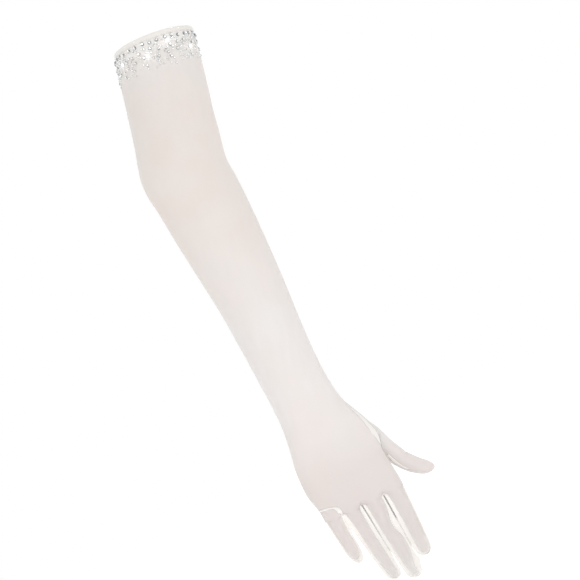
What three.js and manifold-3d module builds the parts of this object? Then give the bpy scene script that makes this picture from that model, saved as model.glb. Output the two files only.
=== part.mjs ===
// A long beaded tulle glove for a right hand, in the form that it has when it is worn.
// Millimetres, +Z up. The origin is the middle of the mouth, where the arm goes in.
// The fingers point down, the back of the hand faces -Y and the thumb is on the +X side.

import * as THREE from 'three';
import { mergeVertices } from 'three/addons/utils/BufferGeometryUtils.js';
import Module from 'manifold-3d';

const wasm = await Module();
wasm.setup();

// Driving dimensions
const WALL = 1.0; // tulle
const HEM_WALL = 1.7; // tulle folded over at the mouth
const CLEARANCE = 0.3; // between neighbouring pieces
const HEM_HEIGHT = 4.5;
const CUFF_HEIGHT = 36; // from the rim to the foot of the beaded band
const MOUTH_RISE_X = 0.097; // the rim rises towards the little finger's side
const MOUTH_RISE_Y = 0.137; // and towards the back of the hand
const LEVEL_Z = -110; // from here down a cross-section is level
const FORK_Z = -465.5; // where the fingers part
const WEB_TOP_Z = -447; // where the rounded webs between the fingers begin
const SPREAD_TOP_Z = -435; // where the palm begins to take the fingers' shape
const FINGER_SPACE = 1.0; // between two fingers, reached SPACE_LENGTH below their fork
const SPACE_LENGTH = 4;
const TAPER_POWER = 1.6; // above 1 a finger keeps its width longer
const FINGER_CELLS = 5; // facets across one side of a finger
const FINGER_STEPS = [0.07, 0.2, 0.45, 0.74, 1]; // rows on a finger's straight stretch
const TIP_SINES = [0.5, 0.85, 0.98, 1]; // rows round a finger's tip, as shares of its length
const THUMB_SIDES = 14;
const SAME_POINT = 1e-3; // points closer than this are one

// The arm and hand. Left and right are the outline seen from the back of the hand, at the
// height z. A power above 2 makes a section squarer than an ellipse.
const ARM = [
  { z: 20, left: -35.0, right: 42.6, centreY: 3.2, halfDepth: 41, power: 2 },
  { z: 4, left: -38.6, right: 40.1, centreY: 0.6, halfDepth: 41, power: 2 },
  { z: -4, left: -40.7, right: 38.5, centreY: -0.6, halfDepth: 41, power: 2 },
  { z: -20, left: -44.5, right: 35.8, centreY: -3.2, halfDepth: 41, power: 2 },
  { z: -40, left: -48.9, right: 31.9, centreY: -6.4, halfDepth: 41, power: 2 },
  { z: -60, left: -53.4, right: 27.6, centreY: -9.6, halfDepth: 41, power: 2 },
  { z: -80, left: -58.2, right: 23.1, centreY: -12.8, halfDepth: 41, power: 2 },
  { z: -98, left: -63.4, right: 19.6, centreY: -15.7, halfDepth: 41.5, power: 2 },
  { z: -112, left: -66.6, right: 17.0, centreY: -17.8, halfDepth: 42, power: 2 },
  { z: -128, left: -67.0, right: 14.4, centreY: -19.8, halfDepth: 42, power: 2 },
  { z: -144, left: -65.1, right: 15.4, centreY: -21.2, halfDepth: 41.5, power: 2 },
  { z: -170, left: -62.6, right: 15.6, centreY: -22.3, halfDepth: 40.2, power: 2 },
  { z: -210, left: -58.4, right: 14.3, centreY: -23, halfDepth: 38, power: 2 },
  { z: -250, left: -54.1, right: 12.4, centreY: -23, halfDepth: 35.5, power: 2 },
  { z: -290, left: -51.2, right: 9.9, centreY: -22.7, halfDepth: 32, power: 2 },
  { z: -325, left: -49.3, right: 8.6, centreY: -22, halfDepth: 27.5, power: 2 },
  { z: -350, left: -48.3, right: 9.6, centreY: -21, halfDepth: 23.5, power: 2.1 },
  { z: -370, left: -48.6, right: 13.2, centreY: -20, halfDepth: 20.5, power: 2.2 },
  { z: -385, left: -50.2, right: 19.6, centreY: -19.2, halfDepth: 19, power: 2.3 },
  { z: -400, left: -52.7, right: 26.6, centreY: -18.5, halfDepth: 18, power: 2.4 },
  { z: -412, left: -54.7, right: 29.4, centreY: -18, halfDepth: 17.4, power: 2.4 },
  { z: -426, left: -55.5, right: 28.2, centreY: -17.6, halfDepth: 16.6, power: 2.4 },
  { z: -442, left: -55.0, right: 27.0, centreY: -17.2, halfDepth: 15.2, power: 2.4 },
  { z: -456, left: -53.0, right: 28.0, centreY: -17, halfDepth: 13.4, power: 2.4 },
  { z: -465.5, left: -51.1, right: 28.6, centreY: -17, halfDepth: 12, power: 2.4 },
];

// The fingers, from the little one to the index. Left and right are their edges at the fork,
// and endHalf is the half width where the rounding of the tip begins, tipRound above its end.
const FINGERS = [
  { left: -51.1, right: -34.3, tipX: -38.4, tipY: -7, tipZ: -513,
    endHalf: 7.2, tipRound: 16, halfDepth: 7.8, endDepth: 6.2 },
  { left: -34.3, right: -13.8, tipX: -15.7, tipY: -9, tipZ: -540.8,
    endHalf: 7.2, tipRound: 9, halfDepth: 9.0, endDepth: 6.8 },
  { left: -13.8, right: 8.2, tipX: 2.8, tipY: -10, tipZ: -547.5,
    endHalf: 7.9, tipRound: 10, halfDepth: 9.4, endDepth: 7.0 },
  { left: 8.2, right: 28.6, tipX: 19.7, tipY: -12, tipZ: -532.5,
    endHalf: 7.8, tipRound: 10, halfDepth: 9.2, endDepth: 6.8 },
];

// The thumb, along its own middle line from inside the palm to the tip
const THUMB = [
  { along: 0, x: 4, y: -17, z: -386, halfWidth: 10.5, halfDepth: 9 },
  { along: 20, x: 14, y: -8, z: -401, halfWidth: 11.6, halfDepth: 10.4 },
  { along: 38, x: 22.6, y: -1.5, z: -416, halfWidth: 10.8, halfDepth: 10.4 },
  { along: 50, x: 28, y: 2, z: -426.5, halfWidth: 9.6, halfDepth: 9.8 },
  { along: 60.5, x: 33, y: 5.5, z: -435.5, halfWidth: 9.0, halfDepth: 9.3 },
  { along: 72.5, x: 38.6, y: 10, z: -445, halfWidth: 8.7, halfDepth: 9.0 },
  { along: 84.5, x: 45.6, y: 14.5, z: -453.6, halfWidth: 8.3, halfDepth: 8.4 },
  { along: 95, x: 53.2, y: 18, z: -460, halfWidth: 7.4, halfDepth: 7.4 },
  { along: 105.5, x: 62, y: 20.5, z: -464.8, halfWidth: 6.8, halfDepth: 6.8 },
];
const THUMB_STEPS = [0, 20, 32, 42, 52, 62, 72, 83, 94];
const THUMB_TIP_ROUND = 11.5;

// The seam at the base of the little finger, and the line between it and the ring finger
const LITTLE_SEAM = [
  { x: -80, z: -452.5 },
  { x: -52, z: -455.5 },
  { x: -38, z: -457.7 },
  { x: -34.4, z: -460.5 },
  { x: -34.3, z: -466 },
  { x: -32.8, z: -480 },
  { x: -30.9, z: -500 },
];
const BELOW_FINGERS_Z = -560;
const LITTLE_REGION_DEPTH = 120; // from front to back of the little finger's region

// Rows of the larger rhinestones below the rim, with what one may stray from its place
const STONE_ROWS = [
  { drop: 7.2, count: 33, diameter: 3.5, stray: 0.5 },
  { drop: 14.5, count: 27, diameter: 2.9, stray: 1.8 },
  { drop: 22, count: 22, diameter: 2.7, stray: 1.9 },
  { drop: 30, count: 9, diameter: 2.6, stray: 1.9 },
];
const STONE_SIDES = 8;
const STONE_TABLE = 0.55; // width of the flat top over the stone's diameter
const STONE_HEIGHT = 0.45; // height above the tulle over the diameter
const STONE_SINK = 0.45; // how far a stone's foot lies in the wall
const STEP_ALONG = 0.618034; // golden-section steps scatter the stones round the arm
const STEP_ACROSS = 0.754878; // and up and down without repeating
const ROW_SHIFT = 0.37; // start of the next row, in stones

// Heights of the cross-sections
const HEM_ROWS = [0, -HEM_HEIGHT];
const CUFF_ROWS = [-HEM_HEIGHT - CLEARANCE, -20, -CUFF_HEIGHT];
const GLOVE_ROWS = [
  -CUFF_HEIGHT - CLEARANCE, -60, -84, -100, -113, -128, -143, -165, -205, -250, -295, -330,
  -352, -370, -385, -400, -413, -427, -439, -448, -456, -461.5, FORK_Z,
];

const MATERIALS = {
  tulle: new THREE.MeshStandardMaterial({ color: 0xece4df, roughness: 0.75, metalness: 0 }),
  hem: new THREE.MeshStandardMaterial({ color: 0xf0ece8, roughness: 0.7, metalness: 0 }),
  stones: new THREE.MeshStandardMaterial({ color: 0xd6dadd, roughness: 0.12, metalness: 0.4 }),
};

const clamp = (value) => Math.min(1, Math.max(0, value));
const mix = (a, b, share) => a + (b - a) * share;
const smoothStep = (share) => share * share * (3 - 2 * share);
const fraction = (value) => value - Math.floor(value);

// How much of its width a round tip keeps, from all of it where the rounding starts to none
const AT_TIP = 0.9999;
const roundTip = (share) => (share > AT_TIP ? 0 : Math.sqrt(1 - clamp(share) ** 2));

// A smooth curve through one column of a table, against another column that rises or falls
function columnAt(table, key, by, value) {
  const direction = Math.sign(table[1][by] - table[0][by]);
  const place = (row) => row[by] * direction;
  const last = table.length - 1;
  let i = 0;
  while (i < last - 1 && value * direction > place(table[i + 1])) i += 1;
  const slope = (n) => {
    const before = table[Math.max(0, n - 1)];
    const after = table[Math.min(last, n + 1)];
    return (after[key] - before[key]) / (after[by] - before[by]);
  };
  const length = table[i + 1][by] - table[i][by];
  const t = clamp((value - table[i][by]) / length);
  const rise = table[i + 1][key] - table[i][key];
  const startBend = slope(i) * length - rise;
  const endBend = rise - slope(i + 1) * length;
  return mix(table[i][key], table[i + 1][key], t) + t * (1 - t) * ((1 - t) * startBend + t * endBend);
}

const armAt = (key, z) => columnAt(ARM, key, 'z', z);

// One cross-section of the arm or hand, inset from the outer face of the tulle
function armSection(z, inset) {
  const tilt = 1 - smoothStep(clamp(z / LEVEL_Z));
  const reach = (armAt('right', z) - armAt('left', z)) / 2;
  const left = armAt('left', z + MOUTH_RISE_X * tilt * reach);
  const right = armAt('right', z - MOUTH_RISE_X * tilt * reach);
  return {
    z,
    riseX: MOUTH_RISE_X * tilt,
    riseY: MOUTH_RISE_Y * tilt,
    centreX: (left + right) / 2,
    centreY: armAt('centreY', z),
    halfWidth: (right - left) / 2 - inset,
    halfDepth: armAt('halfDepth', z) - inset,
    power: armAt('power', z),
  };
}

const armProfile = (section, across) => (1 - Math.abs(across) ** section.power) ** (1 / section.power);

// The point of a section at an offset from its middle line, on the section's tilted plane
function onSection(section, x, depth) {
  const z = section.z - section.riseX * (x - section.centreX) - section.riseY * depth;
  return new THREE.Vector3(x, section.centreY + depth, z);
}

// One cross-section of a finger. Above the forks it gives the strip of the palm that leads to it.
function fingerSection(index, z, inset) {
  const finger = FINGERS[index];
  const forkZ = FORK_Z + inset;
  const tipZ = finger.tipZ + inset;
  const roundZ = finger.tipZ + finger.tipRound;
  const spread = clamp((forkZ - z) / SPACE_LENGTH);
  const side = FINGER_SPACE / 2 * spread;
  const leftInset = side + inset * (index === 0 ? 1 : spread);
  const rightInset = side + inset * (index === FINGERS.length - 1 ? 1 : spread);
  const startZ = Math.min(FORK_Z, forkZ);
  const down = clamp((startZ - z) / (startZ - roundZ));
  const whole = clamp((startZ - z) / (startZ - finger.tipZ));
  const rounding = roundTip((roundZ - z) / (roundZ - tipZ));
  const forkHalf = (finger.right - finger.left) / 2;
  const half = mix(forkHalf, finger.endHalf + FINGER_SPACE / 2, down ** TAPER_POWER);
  const middle = mix((finger.left + finger.right) / 2, finger.tipX, whole);
  return {
    centreX: middle + (leftInset - rightInset) / 2,
    halfWidth: (half - (leftInset + rightInset) / 2) * rounding,
    centreY: mix(armAt('centreY', FORK_Z), finger.tipY, whole * whole),
    depthShare: down,
    rounding,
  };
}

// Half the depth of the fingers at a place across them, even where two fingers meet
function fingerDepth(index, across, down) {
  const depthOf = (finger) => mix(finger.halfDepth, finger.endDepth, down);
  const finger = FINGERS[index];
  const neighbour = FINGERS[index + Math.sign(across)] ?? finger;
  return mix(depthOf(finger), depthOf(neighbour), Math.abs(across) / 2);
}

// Where the fingers' edges lie on the palm's own section, as angles round it
const PALM_LEFT = FINGERS[0].left;
const PALM_RIGHT = FINGERS[FINGERS.length - 1].right;
const PALM_MIDDLE = (PALM_LEFT + PALM_RIGHT) / 2;
const PALM_HALF = (PALM_RIGHT - PALM_LEFT) / 2;
const angleOf = (x) => Math.acos(-Math.min(1, Math.max(-1, (x - PALM_MIDDLE) / PALM_HALF)));

// A point of the glove's form: column 0 is a finger's left edge and FINGER_CELLS its right
// edge, and side is -1 on the back of the hand and 1 on the palm.
function formPoint(index, column, z, side, inset) {
  const finger = FINGERS[index];
  const angle = Math.PI * column / FINGER_CELLS;
  const across = -Math.cos(angle);
  const strip = fingerSection(index, z, inset);
  const arm = armSection(Math.max(z, FORK_Z), inset);
  const share = smoothStep(clamp((SPREAD_TOP_Z - z) / (SPREAD_TOP_Z - FORK_Z)));
  const palmAcross = -Math.cos(mix(angleOf(finger.left), angleOf(finger.right), column / FINGER_CELLS));
  const stripX = strip.centreX + strip.halfWidth * across;
  const x = mix(arm.centreX + arm.halfWidth * palmAcross, stripX, share);
  const web = clamp((WEB_TOP_Z - z) / (WEB_TOP_Z - FORK_Z - inset));
  const valley = Math.sqrt(Math.max(0, 1 - (web * across) ** 2));
  const outward = (index === 0 && across < 0) || (index === FINGERS.length - 1 && across > 0);
  const rim = Math.sin(angle);
  const palmDepth = arm.halfDepth * armProfile(arm, palmAcross) * (outward ? 1 : valley);
  const ownDepth = (fingerDepth(index, across, strip.depthShare) - inset) * (outward ? rim : valley);
  const depth = mix(palmDepth, ownDepth * strip.rounding, share);
  if (z <= FORK_Z) return new THREE.Vector3(x, strip.centreY + side * depth, z);
  return onSection(arm, x, side * depth);
}

// The closed ring of points round the whole arm or hand at one height
function armRing(z, inset) {
  const front = [];
  const back = [];
  FINGERS.forEach((finger, index) => {
    for (let column = index === 0 ? 0 : 1; column <= FINGER_CELLS; column += 1) {
      front.push(formPoint(index, column, z, -1, inset));
      back.push(formPoint(index, column, z, 1, inset));
    }
  });
  return [...front, ...back.slice(1, -1).reverse()];
}

// The closed ring of points round one finger at one height
function fingerRing(index, z, inset) {
  const ring = [];
  for (let column = 0; column <= FINGER_CELLS; column += 1) {
    ring.push(formPoint(index, column, z, -1, inset));
  }
  for (let column = FINGER_CELLS - 1; column > 0; column -= 1) {
    ring.push(formPoint(index, column, z, 1, inset));
  }
  return ring;
}

// Triangles between rings that follow each other from the top down
function loft(rings) {
  const triangles = [];
  const next = (ring, i) => ring[(i + 1) % ring.length];
  for (let row = 0; row < rings.length - 1; row += 1) {
    const [upper, lower] = [rings[row], rings[row + 1]];
    upper.forEach((point, i) => {
      triangles.push([lower[i], next(lower, i), next(upper, i)]);
      triangles.push([lower[i], next(upper, i), point]);
    });
  }
  return triangles;
}

const turnedIn = (triangles) => triangles.map(([a, b, c]) => [a, c, b]);
const lid = (ring) => ring.slice(2).map((point, i) => [ring[0], ring[i + 1], point]);

function geometryOf(triangles) {
  const positions = triangles.flat().flatMap((p) => [p.x, p.y, p.z]);
  const geometry = new THREE.BufferGeometry();
  geometry.setAttribute('position', new THREE.Float32BufferAttribute(positions, 3));
  return geometry;
}

// A solid from a closed geometry, without triangles that have shrunk to a line or a point
function solidOf(geometry) {
  const bare = geometry.clone();
  bare.deleteAttribute('normal');
  bare.deleteAttribute('uv');
  const merged = mergeVertices(bare, SAME_POINT);
  const index = [];
  for (let i = 0; i < merged.index.count; i += 3) {
    const [a, b, c] = [0, 1, 2].map((n) => merged.index.getX(i + n));
    if (a !== b && b !== c && c !== a) index.push(a, b, c);
  }
  const mesh = new wasm.Mesh({
    numProp: 3,
    vertProperties: Float32Array.from(merged.attributes.position.array),
    triVerts: Uint32Array.from(index),
  });
  return new wasm.Manifold(mesh);
}

// The skin of arm, hand and fingers, open at the first height and closed at the fingertips
function gloveSkin(heights, inset) {
  const forkZ = FORK_Z + inset;
  const triangles = loft(heights.map((z) => armRing(z === FORK_Z ? forkZ : z, inset)));
  FINGERS.forEach((finger, index) => {
    const roundZ = finger.tipZ + finger.tipRound;
    const straight = FINGER_STEPS.map((share) => mix(forkZ, roundZ, share));
    const tip = TIP_SINES.map((sine) => roundZ - (finger.tipRound - inset) * sine);
    triangles.push(...loft([forkZ, ...straight, ...tip].map((z) => fingerRing(index, z, inset))));
  });
  return triangles;
}

// The glove's wall below the beaded band
function gloveShell() {
  const rim = loft([armRing(GLOVE_ROWS[0], WALL), armRing(GLOVE_ROWS[0], 0)]);
  const inside = turnedIn(gloveSkin(GLOVE_ROWS, WALL));
  return solidOf(geometryOf([...rim, ...gloveSkin(GLOVE_ROWS, 0), ...inside]));
}

// All that the glove encloses, grown by the clearance that its neighbours keep
function clearGlove() {
  const top = lid(armRing(GLOVE_ROWS[0], -CLEARANCE));
  return solidOf(geometryOf([...top, ...gloveSkin(GLOVE_ROWS, -CLEARANCE)]));
}

// A ring of the sleeve's wall between the first and the last height
function sleeveBand(heights, inset, wall) {
  const outer = heights.map((z) => armRing(z, inset));
  const inner = heights.map((z) => armRing(z, inset + wall));
  return solidOf(geometryOf(loft([inner[0], ...outer, ...inner.reverse()])));
}

// The thumb, a limb along its own line with a round tip
function thumbSolid(inset) {
  const at = (key, along) => columnAt(THUMB, key, 'along', along);
  const centre = (along) => new THREE.Vector3(at('x', along), at('y', along), at('z', along));
  const end = THUMB[THUMB.length - 1].along - inset;
  const roundStart = THUMB[THUMB.length - 1].along - THUMB_TIP_ROUND;
  const roundLength = THUMB_TIP_ROUND - inset;
  const tip = TIP_SINES.map((sine) => roundStart + roundLength * sine);
  const rings = [...THUMB_STEPS, ...tip].map((along) => {
    const tangent = centre(along + 1).sub(centre(along - 1)).normalize();
    if (along > end - 1) tangent.copy(centre(end).sub(centre(end - 2)).normalize());
    const wide = new THREE.Vector3().crossVectors(tangent, new THREE.Vector3(0, 1, 0)).normalize();
    const front = new THREE.Vector3().crossVectors(tangent, wide);
    const rounding = roundTip((along - roundStart) / roundLength);
    return Array.from({ length: THUMB_SIDES }, (_, i) => {
      const angle = 2 * Math.PI * i / THUMB_SIDES;
      return centre(along)
        .addScaledVector(wide, -Math.cos(angle) * (at('halfWidth', along) - inset) * rounding)
        .addScaledVector(front, Math.sin(angle) * (at('halfDepth', along) - inset) * rounding);
    });
  });
  return solidOf(geometryOf([...lid(rings[0]), ...loft(rings)]));
}

// All that lies on the little finger's side of its base seam, moved in by a distance
function littleFingerRegion(margin) {
  const outline = LITTLE_SEAM.map(({ x, z }) => new THREE.Vector2(x - margin, z - margin));
  const last = outline[outline.length - 1];
  outline.push(new THREE.Vector2(last.x, BELOW_FINGERS_Z), new THREE.Vector2(outline[0].x, BELOW_FINGERS_Z));
  const options = { depth: LITTLE_REGION_DEPTH, bevelEnabled: false };
  const prism = new THREE.ExtrudeGeometry(new THREE.Shape(outline), options);
  prism.rotateX(Math.PI / 2);
  prism.translate(0, LITTLE_REGION_DEPTH / 2, 0);
  return solidOf(prism);
}

// A point of the sleeve's outer face: the angle starts at the left edge and runs over the back
function sleevePoint(angle, z) {
  const section = armSection(z, 0);
  const across = -Math.cos(angle);
  const depth = -Math.sign(Math.sin(angle)) * armProfile(section, across) * section.halfDepth;
  return onSection(section, section.centreX + section.halfWidth * across, depth);
}

// A cut stone: a flat table and eight slanting facets, standing on the tulle
function stoneSolid(angle, z, diameter) {
  const point = sleevePoint(angle, z);
  const round = sleevePoint(angle + 0.01, z).sub(point).normalize();
  const outward = new THREE.Vector3().crossVectors(sleevePoint(angle, z - 1).sub(point), round).normalize();
  const upward = new THREE.Vector3().crossVectors(outward, round);
  const ring = (radius, height) => Array.from({ length: STONE_SIDES }, (_, i) => {
    const turn = 2 * Math.PI * i / STONE_SIDES;
    return point.clone()
      .addScaledVector(round, radius * Math.cos(turn))
      .addScaledVector(upward, radius * Math.sin(turn))
      .addScaledVector(outward, height);
  });
  const table = ring(diameter / 2 * STONE_TABLE, diameter * STONE_HEIGHT);
  const foot = ring(diameter / 2, -STONE_SINK);
  return solidOf(geometryOf([...lid(table), ...loft([table, foot]), ...turnedIn(lid(foot))]));
}

// All the stones, each at its place in a row and strayed from it
function stoneSolids() {
  const stones = [];
  STONE_ROWS.forEach((row, rowNumber) => {
    for (let i = 0; i < row.count; i += 1) {
      const number = stones.length + 1;
      const along = (fraction(number * STEP_ALONG) - 0.5) * 2 * row.stray;
      const across = (fraction(number * STEP_ACROSS) - 0.5) * 2 * row.stray;
      const z = -row.drop - across;
      const radius = armSection(z, 0).halfWidth;
      const angle = 2 * Math.PI * fraction((i + rowNumber * ROW_SHIFT) / row.count) + along / radius;
      stones.push(stoneSolid(angle, z, row.diameter));
    }
  });
  return stones;
}

function meshOf(name, solid, material) {
  const { vertProperties, triVerts } = solid.getMesh();
  const geometry = new THREE.BufferGeometry();
  geometry.setAttribute('position', new THREE.BufferAttribute(Float32Array.from(vertProperties), 3));
  geometry.setIndex(new THREE.BufferAttribute(Uint32Array.from(triVerts), 1));
  geometry.computeVertexNormals();
  const mesh = new THREE.Mesh(geometry, material);
  mesh.name = name;
  return mesh;
}

function topHem() {
  const proud = (HEM_WALL - WALL) / 2;
  return meshOf('top_hem', sleeveBand(HEM_ROWS, -proud, HEM_WALL), MATERIALS.hem);
}

function beadedCuff() {
  const band = sleeveBand(CUFF_ROWS, 0, WALL);
  return meshOf('beaded_cuff', wasm.Manifold.union([band, ...stoneSolids()]), MATERIALS.stones);
}

function sleeveAndHand(shell, thumbHollow) {
  const withoutLittle = shell.subtract(littleFingerRegion(0));
  return meshOf('sleeve_and_hand', withoutLittle.subtract(thumbHollow), MATERIALS.tulle);
}

function littleFinger(shell) {
  return meshOf('little_finger', shell.intersect(littleFingerRegion(CLEARANCE)), MATERIALS.tulle);
}

function thumb(thumbHollow) {
  const wall = thumbSolid(0).subtract(thumbHollow);
  return meshOf('thumb', wall.subtract(clearGlove()), MATERIALS.tulle);
}

const shell = gloveShell();
const thumbHollow = thumbSolid(WALL);
const glove = new THREE.Group();
glove.add(
  topHem(), beadedCuff(), sleeveAndHand(shell, thumbHollow), thumb(thumbHollow), littleFinger(shell),
);

export default glove;
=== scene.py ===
"""Looks of a long beaded tulle glove, the right one of a pair, with its worn form, in metres.

The origin is the middle of the mouth, +Z points out of it, the glove's back faces -Y and
the thumb is on the +X side.
"""

import math
from functools import partial

import bmesh
import bpy
import numpy as np
from mathutils import Matrix, Vector
from mathutils.bvhtree import BVHTree


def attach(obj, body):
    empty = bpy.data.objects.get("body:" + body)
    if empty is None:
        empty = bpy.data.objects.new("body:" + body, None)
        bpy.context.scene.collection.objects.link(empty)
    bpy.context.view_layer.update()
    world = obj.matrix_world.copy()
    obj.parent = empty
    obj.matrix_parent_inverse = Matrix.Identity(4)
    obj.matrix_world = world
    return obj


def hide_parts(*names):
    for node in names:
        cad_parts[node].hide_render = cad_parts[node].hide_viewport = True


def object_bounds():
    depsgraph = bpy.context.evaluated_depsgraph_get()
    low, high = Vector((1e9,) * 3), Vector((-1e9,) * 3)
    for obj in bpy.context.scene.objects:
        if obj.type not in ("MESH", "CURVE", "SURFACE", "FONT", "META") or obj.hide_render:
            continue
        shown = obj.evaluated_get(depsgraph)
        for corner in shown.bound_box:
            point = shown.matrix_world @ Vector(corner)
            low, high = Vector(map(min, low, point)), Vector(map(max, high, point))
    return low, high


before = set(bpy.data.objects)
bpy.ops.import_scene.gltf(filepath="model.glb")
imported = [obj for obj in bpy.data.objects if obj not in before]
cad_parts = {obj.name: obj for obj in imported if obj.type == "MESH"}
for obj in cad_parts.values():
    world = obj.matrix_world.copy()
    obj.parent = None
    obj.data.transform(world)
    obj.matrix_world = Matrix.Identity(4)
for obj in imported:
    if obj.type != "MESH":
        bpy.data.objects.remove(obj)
cad_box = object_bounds()


def table(columns, *rows):
    """Rows of sizes, each under the names of its columns."""
    return [dict(zip(columns.split(), row)) for row in rows]


# Sizes shared by several pieces
TULLE = 0.00035  # thickness of the tulle
HEM_HEIGHT = 0.0045
MOUTH_RISE_X = 0.097  # the rim rises towards the little finger's side
MOUTH_RISE_Y = 0.115  # and towards the glove's back
LEVEL_Z = -0.110  # from here down a cross-section is level
SPREAD_TOP_Z = -0.435  # where the palm begins to take the fingers' shape
WEB_TOP_Z = -0.460  # where the rounded webs between the fingers begin
FORK_Z = -0.4642  # where the fingers part
NET_PERIOD = 0.0009  # from hole to hole of the net
STITCH_PITCH = 0.0026

# The sleeve and palm. Left and right are the outline seen from the glove's back, at the
# height z. A power above 2 makes a section squarer than an ellipse.
SLEEVE = table(
    "z left right centre_y half_depth power",
    (0.020, -0.0338, 0.0426, 0.0032, 0.0410, 2.0),
    (0.004, -0.0374, 0.0401, 0.0006, 0.0410, 2.0),
    (-0.004, -0.0396, 0.0385, -0.0006, 0.0410, 2.0),
    (-0.020, -0.0436, 0.0358, -0.0032, 0.0410, 2.0),
    (-0.040, -0.0481, 0.0319, -0.0064, 0.0410, 2.0),
    (-0.060, -0.0527, 0.0275, -0.0096, 0.0410, 2.0),
    (-0.080, -0.0574, 0.0228, -0.0128, 0.0410, 2.0),
    (-0.098, -0.0625, 0.0195, -0.0157, 0.0415, 2.0),
    (-0.112, -0.0658, 0.0166, -0.0178, 0.0420, 2.0),
    (-0.128, -0.0662, 0.0139, -0.0198, 0.0420, 2.0),
    (-0.144, -0.0640, 0.0149, -0.0212, 0.0415, 2.0),
    (-0.170, -0.0618, 0.0152, -0.0223, 0.0402, 2.0),
    (-0.210, -0.0575, 0.0142, -0.0230, 0.0380, 2.0),
    (-0.250, -0.0532, 0.0125, -0.0230, 0.0355, 2.0),
    (-0.290, -0.0508, 0.0099, -0.0227, 0.0320, 2.0),
    (-0.325, -0.0493, 0.0086, -0.0220, 0.0275, 2.0),
    (-0.350, -0.0483, 0.0096, -0.0210, 0.0235, 2.1),
    (-0.370, -0.0486, 0.0128, -0.0200, 0.0205, 2.2),
    (-0.385, -0.0502, 0.0196, -0.0192, 0.0190, 2.3),
    (-0.400, -0.0527, 0.0260, -0.0185, 0.0180, 2.4),
    (-0.412, -0.0547, 0.0288, -0.0180, 0.0174, 2.4),
    (-0.426, -0.0555, 0.0259, -0.0176, 0.0166, 2.4),
    (-0.442, -0.0550, 0.0265, -0.0172, 0.0152, 2.4),
    (-0.456, -0.0530, 0.0268, -0.0170, 0.0134, 2.4),
    (-0.4655, -0.0511, 0.0281, -0.0170, 0.0120, 2.4),
)

# The fingers, from the little one to the index
FINGERS = table(
    "left right tip_x tip_y tip_z end_half tip_round half_depth end_depth",
    (-0.0508, -0.0343, -0.0379, -0.007, -0.5130, 0.0070, 0.016, 0.0078, 0.0062),
    (-0.0343, -0.0138, -0.0142, -0.009, -0.5408, 0.0072, 0.009, 0.0090, 0.0068),
    (-0.0138, 0.0082, 0.0033, -0.010, -0.5475, 0.0079, 0.010, 0.0094, 0.0070),
    (0.0082, 0.0286, 0.0197, -0.012, -0.5325, 0.0078, 0.010, 0.0092, 0.0068),
)
FINGER_SPACE = 0.001  # left between two fingers
SPACE_LENGTH = 0.004  # how far below the fork it reaches that
TAPER_POWER = 1.6
SEAM_FORWARD = 0.0042  # how far towards the glove's back the fingers' seams lie
SEAM_FORWARD_LENGTH = 0.020
BACK_PINCH = 0.9  # how much a finger thins towards its seams, on the glove's back
PALM_PINCH = 0.3  # and on the palm's side

# The seam strip round each finger: its width round the tip, and the height down to which it
# lies against the next finger's strip on its right
STRIPS = table(
    "tip touching_z",
    (0.0044, -0.478),
    (0.0012, -0.514),
    (0.0020, -0.518),
    (0.0010, FORK_Z),
)
# The strips' widths, left and right, from the little finger to the index
STRIP_WIDTHS = table(
    "z left_0 right_0 left_1 right_1 left_2 right_2 left_3 right_3",
    (-0.4642, 0.0009, 0.0008, 0.0028, 0.0030, 0.0028, 0.0024, 0.0026, 0.0009),
    (-0.4690, 0.0009, 0.0009, 0.0031, 0.0032, 0.0030, 0.0023, 0.0031, 0.0009),
    (-0.4760, 0.0009, 0.0013, 0.0035, 0.0035, 0.0030, 0.0025, 0.0039, 0.0009),
    (-0.4830, 0.0009, 0.0018, 0.0038, 0.0037, 0.0030, 0.0041, 0.0041, 0.0009),
    (-0.4880, 0.0009, 0.0017, 0.0037, 0.0039, 0.0030, 0.0050, 0.0042, 0.0009),
    (-0.4930, 0.0009, 0.0015, 0.0034, 0.0040, 0.0030, 0.0058, 0.0042, 0.0009),
    (-0.4980, 0.0009, 0.0016, 0.0030, 0.0039, 0.0030, 0.0051, 0.0042, 0.0010),
    (-0.5030, 0.0009, 0.0020, 0.0028, 0.0037, 0.0030, 0.0031, 0.0040, 0.0010),
    (-0.5080, 0.0009, 0.0024, 0.0027, 0.0036, 0.0031, 0.0019, 0.0037, 0.0010),
    (-0.5160, 0.0009, 0.0024, 0.0026, 0.0032, 0.0032, 0.0016, 0.0035, 0.0010),
    (-0.5240, 0.0009, 0.0024, 0.0025, 0.0030, 0.0033, 0.0021, 0.0034, 0.0010),
    (-0.5300, 0.0009, 0.0024, 0.0024, 0.0030, 0.0034, 0.0037, 0.0034, 0.0010),
    (-0.5360, 0.0009, 0.0024, 0.0022, 0.0030, 0.0036, 0.0050, 0.0034, 0.0010),
    (-0.5420, 0.0009, 0.0024, 0.0020, 0.0028, 0.0038, 0.0036, 0.0034, 0.0010),
)
STRIP_LENGTH = 0.002  # how far below the fork a strip reaches its width
STRIP_THICKNESS = 0.0005
# The empty end of the middle finger's strip stands out on its right
MIDDLE_FINGER = 2
EMPTY_TIP = 0.0022
EMPTY_Z = -0.5315
EMPTY_REACH = 0.005

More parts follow.
